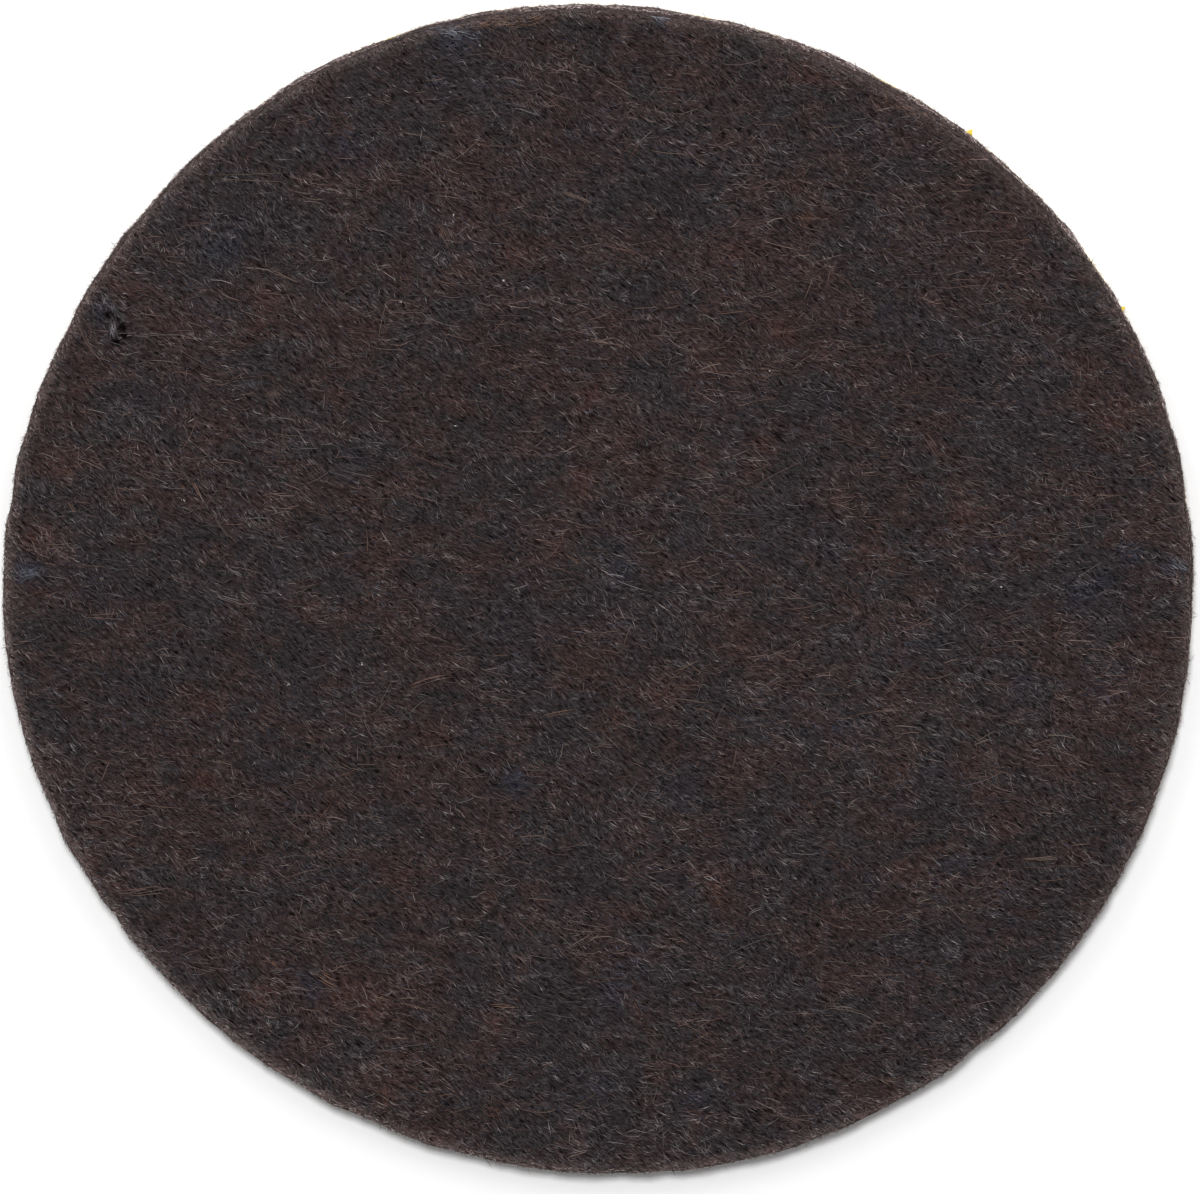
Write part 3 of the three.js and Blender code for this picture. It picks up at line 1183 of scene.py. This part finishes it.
# %% Finish of the layers
def cloudy_material(name, colour, roughness, specular, grain, spread):
    material, tree, shader = new_material(name, roughness, specular)
    place = add_node(tree, "TexCoord").outputs["Object"]
    cloud = add_node(tree, "TexNoise", Vector=place, Scale=1 / grain, Detail=4.0).outputs["Fac"]
    shade = ranged(tree, cloud, *NOISE_RANGE, 1 - spread, 1 + spread)
    tree.links.new(scaled_colour(tree, colour[:3], shade), shader.inputs["Base Color"])
    bump = add_node(tree, "Bump", Height=cloud, Distance=0.01 * MM, Strength=0.5)
    tree.links.new(bump.outputs[0], shader.inputs["Normal"])
    return material


def refinish(node, material):
    layer = frame["nodes"][node]
    layer.data.materials.clear()
    layer.data.materials.append(material)


refinish("release_liner", cloudy_material("liner_paper", linear(244, 216, 70), 0.45, 0.4, 1.5 * MM, 0.05))
refinish("adhesive_film", cloudy_material("adhesive_cream", linear(216, 208, 186), 0.3, 0.5, 0.8 * MM, 0.08))
print("layers:", frame["nodes"]["release_liner"].name, "and", frame["nodes"]["adhesive_film"].name)

# %% [markdown]
# The disc lies on a plain white floor. A floor that bright would cast its light back at the disc,
# so only the camera sees its full white.

# %% Floor
FLOOR_REACH = 1.5
FLOOR_GAP = 0.01 * MM


def camera_sees(tree, shown, otherwise, output):
    """Shows one shader to the camera and another to all other rays."""
    path = add_node(tree, "LightPath")
    chosen = add_node(tree, "MixShader")
    feed(tree, chosen.inputs, (path.outputs["Is Camera Ray"], otherwise, shown))
    tree.links.new(chosen.outputs[0], tree.nodes[output].inputs["Surface"])


def floor_material():
    material, tree, shader = new_material("floor_white", 0.9, 0.0)
    shader.inputs["Base Color"].default_value = (0.8, 0.8, 0.8, 1)
    lit = add_node(tree, "BsdfDiffuse", Color=(0.96, 0.96, 0.96, 1))
    camera_sees(tree, lit.outputs[0], shader.outputs[0], "Material Output")
    return material


floor_mesh = bpy.data.meshes.new("floor")
floor_z = cad_low.z - FLOOR_GAP
corners = [(a * FLOOR_REACH, b * FLOOR_REACH, floor_z) for a, b in ((-1, -1), (1, -1), (1, 1), (-1, 1))]
floor_mesh.from_pydata(corners, [], [(0, 1, 2, 3)])
floor_mesh.materials.append(floor_material())
floor = add_object("floor", floor_mesh)
print("floor", 2 * FLOOR_REACH, "m wide")

# %% [markdown]
# The soft key light comes from the top of the picture, which leaves a narrow shadow below.
# Two larger, weaker boxes and a dim world fill it.

# %% Light
def direction(bearing, elevation):
    """Unit vector towards a bearing from +X and an elevation, both in degrees."""
    turn, rise = math.radians(bearing), math.radians(elevation)
    return Vector((math.cos(turn) * math.cos(rise), math.sin(turn) * math.cos(rise), math.sin(rise)))


def add_area(name, bearing, elevation, distance, size, watts):
    """A square soft box that faces the disc's middle."""
    back = direction(bearing, elevation)
    lamp = bpy.data.lights.new(name, "AREA")
    lamp.size = size
    lamp.energy = watts
    holder = add_object(name, lamp)
    holder.location = back * distance
    holder.rotation_euler = (-back).to_track_quat("-Z", "Y").to_euler()


def light_world(level):
    world = bpy.data.worlds.new("studio")
    bpy.context.scene.world = world
    world.use_nodes = True
    tree = world.node_tree
    ambient = tree.nodes["Background"]
    feed(tree, ambient.inputs, ((1, 1, 1, 1), level))
    white = add_node(tree, "Background", Color=(1, 1, 1, 1), Strength=1.0)
    camera_sees(tree, white.outputs[0], ambient.outputs[0], "World Output")


add_area("key", 84, 69, 0.8, 0.13, 4.35)
add_area("side_right", 58, 45, 0.8, 0.4, 1.25)
add_area("side_left", 122, 45, 0.8, 0.4, 1.25)
light_world(0.28)

# %% [markdown]
# The camera is far off with a long lens and looks down 14 degrees off the vertical, from the
# upper right, so that a thin band of the far side shows. Its place could be found by trying, but
# the disc's width and middle in the photograph give it.

# %% Camera
PHOTO_WIDTH, PHOTO_HEIGHT = 1200, 1194
LENS, SENSOR = 400, 36
VIEW_BEARING = 70.5
VIEW_TILT = 13.6
PAD_HALF_WIDTH_PX = 593.3
PAD_AXIS_PX = (598.9, 593.3)


def point_camera():
    """Camera at the photograph's angle, where the disc spans its width in it."""
    turn = math.radians(VIEW_BEARING)
    back = direction(VIEW_BEARING, 90 - VIEW_TILT)
    hinge = Vector((math.sin(turn), -math.cos(turn), 0))
    rise = back.cross(hinge)
    right = math.sin(turn) * hinge + math.cos(turn) * rise
    up = math.sin(turn) * rise - math.cos(turn) * hinge
    focal_px = PHOTO_WIDTH * LENS / SENSOR
    distance = focal_px * mean_radius / PAD_HALF_WIDTH_PX
    middle = Vector((0, 0, (face_z + cad_low.z) / 2))
    per_px = distance / focal_px
    aim = middle - right * (PAD_AXIS_PX[0] - PHOTO_WIDTH / 2) * per_px
    aim += up * (PAD_AXIS_PX[1] - PHOTO_HEIGHT / 2) * per_px
    camera = add_object("camera", bpy.data.cameras.new("camera"))
    camera.data.lens = LENS
    camera.data.sensor_width = SENSOR
    facing = Matrix((right, up, back)).transposed().to_4x4()
    camera.matrix_world = Matrix.Translation(aim + back * distance) @ facing
    bpy.context.scene.camera = camera
    return distance


print("camera", round(point_camera(), 3), "m away")

# %% [markdown]
# The plain view keeps a white floor white.

# %% Colour
bpy.context.scene.view_settings.view_transform = "Standard"
